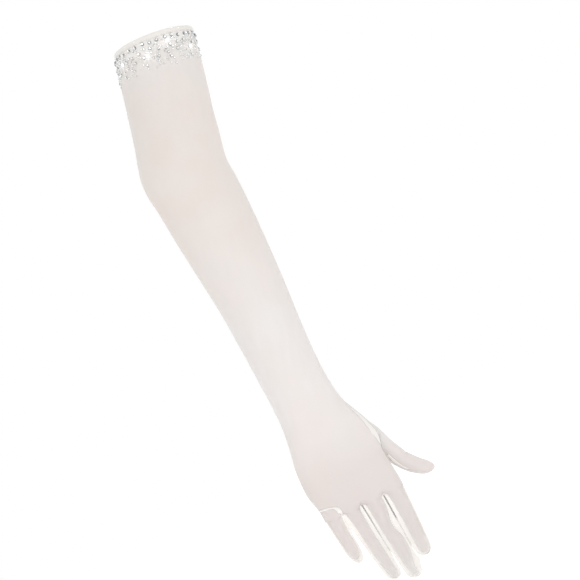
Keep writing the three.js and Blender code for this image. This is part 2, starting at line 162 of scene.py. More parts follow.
# The thumb, along its own middle line from inside the palm to the tip
THUMB = table(
    "along x y z half_width half_depth",
    (0.0000, 0.0040, -0.0170, -0.3860, 0.0105, 0.0090),
    (0.0200, 0.0140, -0.0095, -0.4010, 0.0110, 0.0104),
    (0.0380, 0.0226, -0.0040, -0.4160, 0.0103, 0.0104),
    (0.0500, 0.0276, -0.0005, -0.4269, 0.0093, 0.0098),
    (0.0605, 0.0325, 0.0030, -0.4360, 0.0086, 0.0093),
    (0.0725, 0.0380, 0.0078, -0.4456, 0.0082, 0.0090),
    (0.0845, 0.0450, 0.0128, -0.4542, 0.0078, 0.0084),
    (0.0950, 0.0525, 0.0170, -0.4607, 0.0069, 0.0074),
    (0.1055, 0.0620, 0.0205, -0.4657, 0.0063, 0.0068),
)
THUMB_START = 0.012
THUMB_TIP_ROUND = 0.0115
# The crease across the upper side of the thumb
THUMB_CREASE_ALONG = 0.0690
THUMB_CREASE_SLANT = 0.0022
THUMB_CREASE_DEPTH = 0.0010
THUMB_CREASE_REACH = 0.0017

# The seam at the base of the little finger, and the line between it and the ring finger
LITTLE_SEAM = [
    (-0.0800, -0.4510), (-0.0520, -0.4535), (-0.0430, -0.4546), (-0.0375, -0.4562),
    (-0.0350, -0.4588), (-0.0343, -0.4620), (-0.0343, -0.4660), (-0.0328, -0.4800),
    (-0.0309, -0.5000), (-0.0309, -0.5600),
]

# Rhinestones in rows below the rim: how far below, how many, how wide, and how far one strays
STONE_ROWS = table(
    "drop count diameter stray",
    (0.0072, 33, 0.0035, 0.0007),
    (0.0137, 27, 0.0029, 0.0018),
    (0.0203, 22, 0.0027, 0.0021),
    (0.0259, 10, 0.0026, 0.0016),
)
# The finer stones between them: how many are tried, their width, and where they begin and end
FINE_STONES = table(
    "count diameter highest lowest",
    (120, 0.0022, 0.0088, 0.0255),
    (420, 0.0016, 0.0078, 0.0320),
)
STONE_GAP = 0.0003  # left between neighbouring stones
STONE_OVERLAP = 0.0002  # how far two stones of the rows may reach over each other

# How finely the cloth is divided
CELLS = 16  # columns of faces across one side of a finger
SLEEVE_RINGS = 160
PALM_RINGS = 22
FINGER_RINGS = 34
TIP_RINGS = 9
THUMB_RINGS = 76
THUMB_SIDES = 32
MERGED = 2e-6  # points nearer than this are one


# Number helpers

def mix(a, b, share):
    return a + (b - a) * share


def smooth_step(share):
    share = np.clip(share, 0, 1)
    return share * share * (3 - 2 * share)


def bell(distance, reach):
    return np.exp(-(distance / reach) ** 2)


def unit(vectors):
    return vectors / np.maximum(np.linalg.norm(vectors, axis=-1, keepdims=True), 1e-12)


def curve_at(rows, key, by, value):
    """A smooth curve through one column of a table, against one that rises or falls."""
    rows = sorted(rows, key=lambda row: row[by])
    places = np.array([row[by] for row in rows])
    heights = np.array([row[key] for row in rows])
    last = len(rows) - 1
    before = np.maximum(np.arange(last + 1) - 1, 0)
    after = np.minimum(np.arange(last + 1) + 1, last)
    slopes = (heights[after] - heights[before]) / (places[after] - places[before])
    i = np.clip(np.searchsorted(places, value) - 1, 0, last - 1)
    length = places[i + 1] - places[i]
    t = np.clip((value - places[i]) / length, 0, 1)
    rise = heights[i + 1] - heights[i]
    start_bend = slopes[i] * length - rise
    end_bend = rise - slopes[i + 1] * length
    return heights[i] + rise * t + t * (1 - t) * ((1 - t) * start_bend + t * end_bend)


def run_along(path):
    """How far along a path each of its points lies."""
    return np.concatenate([[0], np.cumsum(np.linalg.norm(np.diff(path, axis=0), axis=1))])


# The glove's form

def sleeve_at(key, z):
    return curve_at(SLEEVE, key, "z", z)


def sleeve_section(z, outset=0.0):
    """One cross-section of the sleeve or palm, on a plane that tilts near the mouth."""
    tilt = 1 - smooth_step(z / LEVEL_Z)
    rise_x = MOUTH_RISE_X * tilt
    reach = (sleeve_at("right", z) - sleeve_at("left", z)) / 2
    left = sleeve_at("left", z + rise_x * reach)
    right = sleeve_at("right", z - rise_x * reach)
    return {
        "z": z, "rise_x": rise_x, "rise_y": MOUTH_RISE_Y * tilt,
        "x": (left + right) / 2, "y": sleeve_at("centre_y", z),
        "half_width": (right - left) / 2 + outset,
        "half_depth": sleeve_at("half_depth", z) + outset,
        "power": sleeve_at("power", z),
    }


def on_section(section, x, depth):
    z = section["z"] - section["rise_x"] * (x - section["x"]) - section["rise_y"] * depth
    return np.stack([x, section["y"] + depth, z], axis=-1)


def profile_at(section, across):
    return np.maximum(0, 1 - np.abs(across) ** section["power"]) ** (1 / section["power"])


def section_ring(section, angle, pucker=0.0):
    """Points round a section, from its left edge over the glove's back."""
    x = section["x"] - (section["half_width"] + pucker) * np.cos(angle)
    return on_section(section, x, -(section["half_depth"] + pucker) * np.sin(angle))


def sleeve_point(angle, z):
    """A point of the sleeve's outer face: the angle runs from the left edge over the back."""
    section = sleeve_section(z)
    across = -math.cos(angle)
    side = -math.copysign(1, math.sin(angle))
    depth = side * profile_at(section, across) * section["half_depth"]
    return on_section(section, section["x"] + section["half_width"] * across, depth)


def below_fork(z, length):
    """From 0 at the fork between the fingers to 1 at a length below it."""
    return smooth_step((FORK_Z - z) / length)


def middle_and_half(left, right):
    return (left + right) / 2, (right - left) / 2


PALM_MIDDLE, PALM_HALF = middle_and_half(FINGERS[0]["left"], FINGERS[-1]["right"])


def angle_of(x):
    return math.acos(-min(1, max(-1, (x - PALM_MIDDLE) / PALM_HALF)))


def finger_depth(index, across, down):
    """Half the depth across a finger, even where two fingers meet."""
    depths = [mix(finger["half_depth"], finger["end_depth"], down) for finger in FINGERS]
    lower = depths[max(0, index - 1)]
    upper = depths[min(len(FINGERS) - 1, index + 1)]
    return mix(depths[index], np.where(across < 0, lower, upper), np.abs(across) / 2)


def is_outward(index, across):
    """Where a finger has no neighbour: beyond its middle, on the glove's own edges."""
    first = (index == 0) & (across < 0)
    last = (index == len(FINGERS) - 1) & (across > 0)
    return first | last


def seam_forward(index, across, z):
    """How far the seam at a finger's edge lies in front of the finger's middle."""
    begun = below_fork(z, SEAM_FORWARD_LENGTH)
    return SEAM_FORWARD * np.where(is_outward(index, across), begun, 1.0)


def palm_row(index, shares, z, side):
    """Points across one finger's part of the sleeve or palm, on its back (-1) or palm (1)."""
    finger = FINGERS[index]
    angle = math.pi * shares
    across = -np.cos(angle)
    section = sleeve_section(z)
    share = smooth_step((SPREAD_TOP_Z - z) / (SPREAD_TOP_Z - FORK_Z))
    palm_across = -np.cos(mix(angle_of(finger["left"]), angle_of(finger["right"]), shares))
    middle, half = middle_and_half(finger["left"], finger["right"])
    x = mix(section["x"] + section["half_width"] * palm_across, middle + half * across, share)
    web = np.clip((WEB_TOP_Z - z) / (WEB_TOP_Z - FORK_Z), 0, 1)
    valley = np.sqrt(np.maximum(0, 1 - (web * across) ** 2))
    outward = is_outward(index, across)
    palm_depth = section["half_depth"] * profile_at(section, palm_across)
    palm_depth = palm_depth * np.where(outward, 1, valley)
    own_depth = finger_depth(index, across, 0) * np.where(outward, np.sin(angle), valley)
    forward = SEAM_FORWARD * np.where(outward, 0, 1 - valley)
    return on_section(section, x, side * mix(palm_depth, own_depth, share) - forward)


def strip_width(index, side, z):
    """Width of the seam strip along one side of a finger at a height."""
    column = ("left_" if side < 0 else "right_") + str(index)
    return curve_at(STRIP_WIDTHS, column, "z", z) * below_fork(z, STRIP_LENGTH)


def finger_rows(index, count, tip_count, tip_inset):
    """Heights down a finger, with its taper and the share of its width kept there."""
    finger = FINGERS[index]
    round_z = finger["tip_z"] + finger["tip_round"]
    rows = [(mix(FORK_Z, round_z, share), share, 1.0) for share in np.linspace(0, 1, count)]
    for turn in np.linspace(0, math.pi / 2, tip_count + 1)[1:]:
        z = round_z - (finger["tip_round"] - tip_inset) * math.sin(turn)
        rows.append((z, 1.0, max(0.0, math.cos(turn) - 1e-9)))
    return rows


def finger_edges(index, row, left_inset, right_inset):
    """Left edge, right edge and middle depth of a finger's outline in one of its rows."""
    finger = FINGERS[index]
    z, down, kept = row
    spread = min(1.0, max(0.0, (FORK_Z - z) / SPACE_LENGTH)) * FINGER_SPACE / 2
    whole = (FORK_Z - z) / (FORK_Z - finger["tip_z"])
    fork_middle, fork_half = middle_and_half(finger["left"], finger["right"])
    half = mix(fork_half, finger["end_half"] + FINGER_SPACE / 2, down ** TAPER_POWER)
    middle = mix(fork_middle, finger["tip_x"], whole)
    centre, reach = middle_and_half(
        middle - half + spread + left_inset, middle + half - spread - right_inset)
    y = mix(sleeve_at("centre_y", FORK_Z), finger["tip_y"], whole * whole)
    return centre - reach * kept, centre + reach * kept, y


def finger_row(index, shares, row, side):
    """Points across a finger's back (-1) or palm side (1)."""
    z, down, kept = row
    widths = [strip_width(index, edge, z) for edge in (-1, 1)]
    left, right, y = finger_edges(index, row, *widths)
    angle = math.pi * shares
    across = -np.cos(angle)
    middle, half = middle_and_half(left, right)
    pinch = 1 + (BACK_PINCH if side < 0 else PALM_PINCH) * float(below_fork(z, STRIP_LENGTH))
    crown = np.sin(angle) ** pinch
    depth = finger_depth(index, across, down) * crown * kept
    forward = seam_forward(index, across, z) * (1 - crown) * kept
    x = middle + half * across
    return np.stack([x, y + side * depth - forward, np.full_like(x, z)], axis=-1)


def thumb_line(along):
    return np.stack([curve_at(THUMB, key, "along", along) for key in "xyz"], axis=-1)


def thumb_axes(along):
    """Tangent, sideways and front directions of the thumb at places along it."""
    step = 0.001
    along = np.minimum(along, THUMB[-1]["along"] - step)
    tangent = unit(thumb_line(along + step) - thumb_line(along - step))
    wide = unit(np.cross(tangent, (0.0, 1.0, 0.0)))
    return tangent, wide, np.cross(tangent, wide)


# Mesh helpers

def add_grid(bm, points, uvs, flip=False):
    """Adds a sheet of four-sided faces from rows of points, with their UV places."""
    layer = bm.loops.layers.uv.verify()
    verts = [[bm.verts.new(point) for point in row] for row in points]
    for r in range(len(points) - 1):
        for c in range(len(points[r]) - 1):
            corners = [(r, c), (r, c + 1), (r + 1, c + 1), (r + 1, c)]
            if flip:
                corners.reverse()
            face = bm.faces.new([verts[i][j] for i, j in corners])
            face.smooth = True
            for loop, (i, j) in zip(face.loops, corners):
                loop[layer].uv = uvs[i][j]


def arcs(rows, middle):
    """Distance along each row of points, from the point with the index middle."""
    steps = np.linalg.norm(np.diff(rows, axis=1), axis=2)
    run = np.concatenate([np.zeros((len(rows), 1)), np.cumsum(steps, axis=1)], axis=1)
    return run - run[:, middle:middle + 1]


def uv_places(across, down):
    """UV places from the distances across each row and one distance for each row."""
    return np.stack([across, np.repeat(down[:, None], across.shape[1], axis=1)], axis=-1)


def add_band(bm, top, bottom, down, closed=False):
    """Adds a thick band between the lines of its top and its underside, its ends closed."""
    rows = np.stack(top + bottom[::-1] + top[:1], axis=1)
    add_grid(bm, rows, uv_places(arcs(rows, 0), down))
    if not closed:
        for row in (rows[0], rows[-1]):
            bm.faces.new([bm.verts.new(point) for point in row[:-1]])


def merged(bm):
    bmesh.ops.remove_doubles(bm, verts=bm.verts, dist=MERGED)
    bmesh.ops.dissolve_degenerate(bm, edges=bm.edges, dist=1e-7)
    return bm


def closed_up(bm):
    merged(bm)
    bmesh.ops.recalc_face_normals(bm, faces=bm.faces)
    return bm


def add_object(name, data):
    made = bpy.data.objects.new(name, data)
    bpy.context.scene.collection.objects.link(made)
    return made


def object_from(bm, name):
    mesh = bpy.data.meshes.new(name)
    bm.to_mesh(mesh)
    bm.free()
    return add_object(name, mesh)


def settled(piece):
    """The piece with its modifiers worked into its mesh."""
    evaluated = piece.evaluated_get(bpy.context.evaluated_depsgraph_get())
    mesh = bpy.data.meshes.new_from_object(evaluated)
    piece.modifiers.clear()
    piece.data = mesh
    mesh.name = piece.name
    return piece


def painted(piece, material):
    piece.data.materials.clear()
    piece.data.materials.append(material)
    return piece


def tulle_piece(bm, name, material):
    """A piece of tulle from its outer face, with its thickness inwards."""
    piece = object_from(bm, name)
    wall = piece.modifiers.new("Wall", "SOLIDIFY")
    wall.thickness = TULLE
    wall.offset = -1
    return painted(settled(piece), material)


def with_values(piece, name, value_at):
    """Stores a value that depends on its place for each point of a piece."""
    mesh = piece.data
    points = np.empty(len(mesh.vertices) * 3)
    mesh.vertices.foreach_get("co", points)
    values = mesh.attributes.new(name, "FLOAT", "POINT")
    values.data.foreach_set("value", value_at(points.reshape(-1, 3)))
    return piece


# Node helpers

def fill(tree, target, inputs):
    """Fills or links a node's inputs. A node given as a value stands for its first output."""
    for key, value in inputs.items():
        socket = target.inputs[key]
        if isinstance(value, bpy.types.Node):
            value = value.outputs[0]
        if isinstance(value, bpy.types.NodeSocket):
            tree.links.new(value, socket)
        elif socket.type == "RGBA":
            socket.default_value = (*value, 1)
        else:
            socket.default_value = value


def node(tree, kind, inputs=None, **settings):
    """Adds a node with its settings and inputs."""
    made = tree.nodes.new(kind)
    for name, value in settings.items():
        setattr(made, name, value)
    fill(tree, made, inputs or {})
    return made


def maths(tree, operation, *values):
    return node(tree, "ShaderNodeMath", dict(enumerate(values)), operation=operation)


def blended(tree, share, first, second, blend="MIX"):
    inputs = {"Fac": share, "Color1": first, "Color2": second}
    return node(tree, "ShaderNodeMixRGB", inputs, blend_type=blend)


def own_node(tree, kind):
    """The node of a kind that a new tree already has."""
    return next(made for made in tree.nodes if made.type == kind)


def new_group(name, inputs):
    """A Geometry Nodes tree with named inputs, given as name, socket kind and value."""
    tree = bpy.data.node_groups.new(name, "GeometryNodeTree")
    for in_out in ("INPUT", "OUTPUT"):
        tree.interface.new_socket("Geometry", in_out=in_out, socket_type="NodeSocketGeometry")
    for label, kind, value in inputs:
        socket = tree.interface.new_socket(label, in_out="INPUT", socket_type="NodeSocket" + kind)
        if value is not None:
            socket.default_value = value
    return tree, tree.nodes.new("NodeGroupInput").outputs


def finish_tree(tree, shape, material):
    """Paints the tree's shape and gives it out."""
    coated = node(tree, "GeometryNodeSetMaterial", {"Geometry": shape, "Material": material})
    fill(tree, tree.nodes.new("NodeGroupOutput"), {0: coated})


def with_nodes(piece, tree, values):
    """Runs a Geometry Nodes tree on a piece and keeps the result as its mesh."""
    run = piece.modifiers.new(tree.name, "NODES")
    run.node_group = tree
    for item in tree.interface.items_tree:
        if item.in_out == "INPUT" and item.name in values:
            run[item.identifier] = values[item.name]
    return settled(piece)


# Stitches and stones

def stitch_tree():
    """Short threads laid end to end along every edge of the mesh that it is given."""
    tree, given = new_group("stitches", (
        ("Pitch", "Float", STITCH_PITCH),
        ("Stitch Length", "Float", 0.0018),
        ("Thread Radius", "Float", 0.00018),
        ("Material", "Material", None),
    ))
    add = partial(node, tree)
    line = add("GeometryNodeMeshToCurve", {"Mesh": given["Geometry"]})
    points = add("GeometryNodeCurveToPoints", {"Curve": line, "Length": given["Pitch"]},
                 mode="LENGTH")
    ball = add("GeometryNodeMeshUVSphere", {"Segments": 6, "Rings": 5, "Radius": 1.0})
    half = maths(tree, "MULTIPLY", given["Stitch Length"], 0.5)
    scale = add("ShaderNodeCombineXYZ", {
        "X": given["Thread Radius"], "Y": given["Thread Radius"], "Z": half})
    threads = add("GeometryNodeInstanceOnPoints", {
        "Points": points, "Instance": ball, "Rotation": points.outputs["Rotation"],
        "Scale": scale})
    real = add("GeometryNodeRealizeInstances", {"Geometry": threads})
    finish_tree(tree, real, given["Material"])
    return tree


def rhinestone_tree():
    """A cut stone on every point, standing along its outward attribute."""
    tree, given = new_group("rhinestones", (
        ("Table Width", "Float", 0.54),
        ("Star Width", "Float", 0.84),
        ("Crown Height", "Float", 0.43),
        ("Girdle Height", "Float", 0.08),
        ("Foot Depth", "Float", 0.05),
        ("Sides", "Int", 8),
        ("Seed", "Int", 3),
        ("Material", "Material", None),
    ))
    add = partial(node, tree)
    foot = maths(tree, "MULTIPLY", given["Foot Depth"], -1.0)
    star = maths(tree, "MULTIPLY", given["Crown Height"], 0.62)
    rings = add("GeometryNodeJoinGeometry")
    for width, height, turn in (
            (1.0, foot, math.pi / 8), (1.0, given["Girdle Height"], math.pi / 8),
            (given["Star Width"], star, 0.0),
            (given["Table Width"], given["Crown Height"], math.pi / 8)):
        radius = maths(tree, "MULTIPLY", width, 0.5)
        circle = add("GeometryNodeMeshCircle", {"Vertices": given["Sides"], "Radius": radius})
        place = add("ShaderNodeCombineXYZ", {"Z": height})
        ring = add("GeometryNodeTransform", {
            "Geometry": circle, "Translation": place, "Rotation": (0.0, 0.0, turn)})
        fill(tree, rings, {0: ring})
    stone = add("GeometryNodeConvexHull", {"Geometry": rings})
    outward, diameter = (
        add("GeometryNodeInputNamedAttribute", {"Name": name}, data_type=kind).outputs["Attribute"]
        for name, kind in (("outward", "FLOAT_VECTOR"), ("diameter", "FLOAT")))
    upright = add("FunctionNodeAlignRotationToVector", {"Vector": outward}, axis="Z")
    stones = add("GeometryNodeInstanceOnPoints", {
        "Points": given["Geometry"], "Instance": stone, "Rotation": upright, "Scale": diameter})
    spin = add("FunctionNodeRandomValue", {
        "Min": (0.0, 0.0, 0.0), "Max": (0.0, 0.0, math.pi / 4), "Seed": given["Seed"]},
        data_type="FLOAT_VECTOR")
    turned = add("GeometryNodeRotateInstances", {"Instances": stones, "Rotation": spin})
    real = add("GeometryNodeRealizeInstances", {"Geometry": turned})
    # Stores each facet's painted reflection.
    toned = add("GeometryNodeStoreNamedAttribute", {
        "Geometry": real, "Name": "facet_tone", "Value": facet_tone(tree, given, outward, diameter)},
        data_type="FLOAT", domain="FACE")
    flat = add("GeometryNodeSetShadeSmooth", {"Geometry": toned, "Shade Smooth": False})
    finish_tree(tree, flat, given["Material"])
    return tree


def facet_tone(tree, given, outward, diameter):
    """The painted reflection on each facet: at random, brighter on fine stones, and brightest on top.
    """
    add = partial(node, tree)
    tone = add("FunctionNodeRandomValue", {"Seed": given["Seed"], 3: 0.75}, data_type="FLOAT")
    finer = add("ShaderNodeMapRange", {
        "Value": diameter, "From Min": 0.0035, "From Max": 0.0016, "To Min": 0.0, "To Max": 0.3})
    crown = maths(tree, "ADD", tone.outputs[1], finer)
    facing = add("ShaderNodeVectorMath", {0: add("GeometryNodeInputNormal"), 1: outward},
                 operation="DOT_PRODUCT")
    on_top = maths(tree, "GREATER_THAN", facing.outputs["Value"], 0.97)
    return maths(tree, "MAXIMUM", crown, on_top)


# Materials

def new_material(name):
    material = bpy.data.materials.new(name)
    material.use_nodes = True
    return material, material.node_tree, own_node(material.node_tree, "BSDF_PRINCIPLED")


def net_holes(tree, period):
    """Near 1 in the holes of a six-sided net and 0 on its threads, on the UV map."""
    add = partial(node, tree)
    place = add("ShaderNodeUVMap", uv_map="UVMap")
    wave = 2 * math.pi / period
    total = 0.0
    for angle in (0, math.radians(60), math.radians(120)):
        across = (wave * math.cos(angle), wave * math.sin(angle), 0.0)
        along = add("ShaderNodeVectorMath", {0: place, 1: across}, operation="DOT_PRODUCT")
        total = maths(tree, "ADD", maths(tree, "COSINE", along.outputs["Value"]), total)
    return add("ShaderNodeMapRange", {"Value": total, "From Min": -0.6, "From Max": 1.2})


def colour_ramp(tree, value, stops, interpolation="LINEAR"):
    """Colours along a value, from stops of a place, red, green and blue."""
    made = node(tree, "ShaderNodeValToRGB", {"Fac": value})
    ramp = made.color_ramp
    ramp.interpolation = interpolation
    while len(ramp.elements) < len(stops):
        ramp.elements.new(1.0)
    for element, (place, *colour) in zip(ramp.elements, stops):
        element.position = place
        element.color = (*colour, 1)
    return made


def tulle_material(name, tints, fork_alpha, tip_alpha):
    """Ivory net, tinted down the glove, softly uneven, with painted shade in a deep crease and painted
    light beside the seam strips.

    The alpha of its holes is given above the fingers and at their ends.
    """
    material, tree, shader = new_material(name)
    add = partial(node, tree)
    holes = net_holes(tree, NET_PERIOD)
    place = add("ShaderNodeTexCoord").outputs["Object"]
    height = add("ShaderNodeSeparateXYZ", {0: place}).outputs["Z"]
    down = add("ShaderNodeMapRange", {"Value": height, "From Min": 0.0, "From Max": TINT_END_Z})
    clouds = add("ShaderNodeTexNoise", {"Vector": place, "Scale": 22.0, "Detail": 2.0})
    blush = add("ShaderNodeMapRange", {"Value": clouds, "From Min": 0.35, "From Max": 0.65})
    pink = blended(tree, blush, WHITE, BLUSH_COLOUR)
    warm = blended(tree, 1.0, colour_ramp(tree, down, tints), pink, "MULTIPLY")
    net = blended(tree, 1.0, warm, blended(tree, holes, WHITE, HOLE_COLOUR), "MULTIPLY")
    seam_painted_light, crease = (
        add("ShaderNodeAttribute", attribute_name=name).outputs["Fac"]
        for name in ("seam_painted_light", "crease"))
    # Painted light: the colour is made lighter beside the fingers' seam strips, lifting their shade.
    paler = blended(tree, seam_painted_light, net, SEAM_LIGHT_COLOUR)
    closer = add("ShaderNodeMapRange", {
        "Value": down, "From Min": 0.85, "From Max": 0.93, "To Min": fork_alpha,
        "To Max": tip_alpha})
    clear = add("ShaderNodeMapRange", {"Value": holes, "To Min": 1.0, "To Max": closer})
    fine = add("ShaderNodeTexNoise", {"Vector": place, "Scale": 260.0, "Detail": 2.0})
    soft = add("ShaderNodeBump", {"Height": fine, "Strength": 0.12, "Distance": 0.0006})
    bump = add("ShaderNodeBump", {
        "Height": holes, "Normal": soft, "Strength": 0.3, "Distance": 0.0001}, invert=True)
    # Where the crease value is set, shade is painted over the colour and the net is made opaque.
    fill(tree, shader, {
        "Base Color": blended(tree, crease, paler, CREASE_SHADE_COLOUR),
        "Alpha": maths(tree, "MAXIMUM", clear, crease), "Normal": bump, "Roughness": 0.78,
        "Specular IOR Level": 0.25, "Sheen Weight": 0.3, "Sheen Tint": (0.94, 1.0, 0.98),
        "Sheen Roughness": 0.45})
    return material


def thread_material():
    """Pale sewing thread with a faint twist."""
    material, tree, shader = new_material("sewing_thread")
    place = node(tree, "ShaderNodeTexCoord").outputs["Object"]
    twist = node(tree, "ShaderNodeTexWave", {"Vector": place, "Scale": 900.0, "Distortion": 1.0})
    tint = blended(tree, twist.outputs["Fac"], (0.70, 0.67, 0.63), (0.86, 0.84, 0.80))
    fill(tree, shader, {"Base Color": tint, "Roughness": 0.5})
    return material


def rhinestone_material():
    """Clear cut stones with a foil back, with painted reflections on their facets: bright, grey or
    dark.
    """
    material, tree, shader = new_material("rhinestone")
    tone = node(tree, "ShaderNodeAttribute", attribute_name="facet_tone").outputs["Fac"]
    fill(tree, shader, {
        "Base Color": colour_ramp(tree, tone, FACET_REFLECTION_TINTS, "CONSTANT"), "Metallic": 0.9,
        "Roughness": 0.07, "Coat Weight": 0.6, "Coat Roughness": 0.03})
    return material


def floor_material():
    material, tree, shader = new_material("pale_floor")
    fill(tree, shader, {
        "Base Color": (0.97, 0.97, 0.97), "Roughness": 0.9, "Emission Color": WHITE,
        "Emission Strength": 0.15})
    return material


WHITE = (1.0, 1.0, 1.0)
BLUSH_COLOUR = (1.0, 0.975, 0.965)
HOLE_COLOUR = (0.93, 0.92, 0.91)
# Painted shade for the creases between the fingers and for the line where the palm's edge lies on the
# thumb
CREASE_SHADE_COLOUR = (0.13, 0.11, 0.10)
# The colour of the painted light beside the fingers' seam strips
SEAM_LIGHT_COLOUR = (0.97, 0.95, 0.93)
# Tints from the rim (0) down to the fingertips (1): place, red, green and blue
TINT_END_Z = -0.5475
TULLE_TINTS = (
    (0.00, 0.820, 0.815, 0.795), (0.07, 0.825, 0.790, 0.772), (0.20, 0.852, 0.804, 0.776),
    (0.35, 0.868, 0.824, 0.802), (0.50, 0.892, 0.874, 0.866), (0.63, 0.905, 0.884, 0.884),
    (0.72, 0.896, 0.872, 0.862), (0.79, 0.846, 0.792, 0.774), (0.90, 0.828, 0.785, 0.775),
    (1.00, 0.805, 0.778, 0.765),
)
THUMB_TINTS = ((0.76, 0.89, 0.87, 0.86), (0.85, 0.87, 0.82, 0.81))
# The seams' tints, with two narrow lighter bands, about z -0.433 to -0.449 and -0.462 to -0.465:
# painted light that lifts the shade on the thumb's lower strip and on the seam in the fork
SEAM_TINTS = (
    (0.00, 0.80, 0.79, 0.765), (0.08, 0.80, 0.79, 0.765), (0.60, 0.87, 0.86, 0.84),
    (0.77, 0.85, 0.845, 0.83), (0.79, 0.95, 0.93, 0.91), (0.82, 0.95, 0.93, 0.91),
    (0.833, 0.893, 0.878, 0.858), (0.838, 0.85, 0.83, 0.81), (0.844, 0.98, 0.96, 0.94),
    (0.850, 0.98, 0.96, 0.94), (0.856, 0.893, 0.878, 0.858), (1.00, 0.90, 0.885, 0.865),
)
# The finger strips' tints, lightest at the fork: painted light that lifts the shade between the
# fingers there
EDGE_TINTS = ((0.84, 0.97, 0.93, 0.885), (0.90, 0.90, 0.87, 0.845), (1.00, 0.86, 0.835, 0.80))
# Painted reflections on the stones' facets, from dark to bright
FACET_REFLECTION_TINTS = (
    (0.0, 0.13, 0.135, 0.14), (0.14, 0.30, 0.31, 0.32), (0.45, 0.55, 0.57, 0.58),
    (0.72, 0.95, 0.96, 0.97),
)
tulle = tulle_material("tulle", TULLE_TINTS, 0.62, 0.62)
thumb_tulle = tulle_material("thumb_tulle", THUMB_TINTS, 0.62, 0.62)
double_tulle = tulle_material("double_tulle", SEAM_TINTS, 0.92, 0.92)
edge_tulle = tulle_material("edge_tulle", EDGE_TINTS, 0.46, 0.62)
thread = thread_material()
rhinestone = rhinestone_material()


# Outer faces of the cloth

SHEET_TOP_Z = -0.0015  # just under the hem's fold
PALM_UV_SHIFT = 0.3  # the palm side's place in the UV map, beside the back's


def glove_sheet():
    """The outer face of the glove without its thumb, from under the hem to the fingertips."""
    bm = bmesh.new()
    shares = np.linspace(0, 1, CELLS + 1)
    heights = np.concatenate([
        np.linspace(SHEET_TOP_Z, SPREAD_TOP_Z, SLEEVE_RINGS)[:-1],
        np.linspace(SPREAD_TOP_Z, FORK_Z, PALM_RINGS)])
    for side, shift in ((-1, 0.0), (1, PALM_UV_SHIFT)):

        def add_side(rows, across):
            add_grid(bm, rows, np.stack([across + shift, rows[:, :, 2]], axis=-1), flip=side < 0)

        columns = []
        for index in range(len(FINGERS)):
            rows = np.array([palm_row(index, shares, z, side) for z in heights])
            columns.append(rows if index == 0 else rows[:, 1:])
        rows = np.concatenate(columns, axis=1)
        across = arcs(rows, 2 * CELLS)
        add_side(rows, across)
        for index in range(len(FINGERS)):
            own_rows = finger_rows(index, FINGER_RINGS, TIP_RINGS, STRIPS[index]["tip"])
            rows = np.array([finger_row(index, shares, row, side) for row in own_rows])
            middle = across[-1, CELLS * index + CELLS // 2]
            add_side(rows, arcs(rows, CELLS // 2) + middle)
    return merged(bm)


def thumb_sheet():
    """The thumb's outer face, from inside the palm to its tip."""
    bm = bmesh.new()
    start = THUMB[-1]["along"] - THUMB_TIP_ROUND
    turns = np.linspace(0, math.pi / 2, TIP_RINGS)[1:]
    rings = np.linspace(THUMB_START, start, THUMB_RINGS)
    along = np.concatenate([rings, start + THUMB_TIP_ROUND * np.sin(turns)])
    kept = np.concatenate([np.ones(len(rings)), np.maximum(0, np.cos(turns) - 1e-9)])
    _, wide, front = thumb_axes(along)
    angle = np.linspace(0, 2 * math.pi, THUMB_SIDES + 1)
    upper = smooth_step((angle - 1.3) / 1.0) * smooth_step((4.0 - angle) / 0.6)
    crease = THUMB_CREASE_ALONG - THUMB_CREASE_SLANT * np.cos(angle)
    dent = bell(along[:, None] - crease, THUMB_CREASE_REACH) * upper * THUMB_CREASE_DEPTH
    half_width, half_depth = (
        curve_at(THUMB, key, "along", along) * kept for key in ("half_width", "half_depth"))
    sideways = -np.cos(angle) * (half_width[:, None] - dent)
    forward = np.sin(angle) * (half_depth[:, None] - dent)
    rows = (thumb_line(along)[:, None, :] + wide[:, None, :] * sideways[..., None]
            + front[:, None, :] * forward[..., None])
    add_grid(bm, rows, uv_places(arcs(rows, THUMB_SIDES // 2), -along))
    return closed_up(bm)


# Cuts where two pieces meet, and the regions in which they lie

THUMB_TOP = -0.375
THUMB_BOTTOM = -0.455
THUMB_LEFT = -0.01
LITTLE_TOP = -0.440
LITTLE_RIGHT = -0.025
THUMB_PLACES = np.linspace(0.0, THUMB[-1]["along"] - 0.001, 220)
THUMB_POINTS = thumb_line(THUMB_PLACES)
THUMB_AXES = thumb_axes(THUMB_PLACES)
THUMB_HALVES = [
    curve_at(THUMB, key, "along", THUMB_PLACES) for key in ("half_width", "half_depth")]


def in_thumb_region(point):
    return THUMB_BOTTOM < point[2] < THUMB_TOP and point[0] > THUMB_LEFT


def at_little_finger(point):
    return point[2] < LITTLE_TOP and point[0] < LITTLE_RIGHT


def outside_thumb(point):
    """Above zero outside the thumb, below zero inside it."""
    offset = np.array(point) - THUMB_POINTS
    i = int(np.argmin((offset * offset).sum(axis=1)))
    wide, front = (
        offset[i] @ axis[i] / half[i] for axis, half in zip(THUMB_AXES[1:], THUMB_HALVES))
    return math.hypot(wide, front) - 1


def outside_palm(point):
    """Above zero outside the palm's form, below zero inside it."""
    section = sleeve_section(point[2])
    across = abs(point[0] - section["x"]) / section["half_width"]
    deep = abs(point[1] - section["y"]) / section["half_depth"]
    return across ** section["power"] + deep ** section["power"] - 1


def outside_little_finger(point):
    """Distance from the little finger's seam: above zero on the other fingers' side."""
    x, z = point[0], point[2]
    nearest = 1.0
    for (ax, az), (bx, bz) in zip(LITTLE_SEAM, LITTLE_SEAM[1:]):
        along, down = bx - ax, bz - az
        t = min(1, max(0, ((x - ax) * along + (z - az) * down) / (along ** 2 + down ** 2)))
        distance = math.hypot(x - ax - t * along, z - az - t * down)
        if distance < abs(nearest):
            nearest = math.copysign(distance, (z - az) * along - (x - ax) * down)
    return nearest


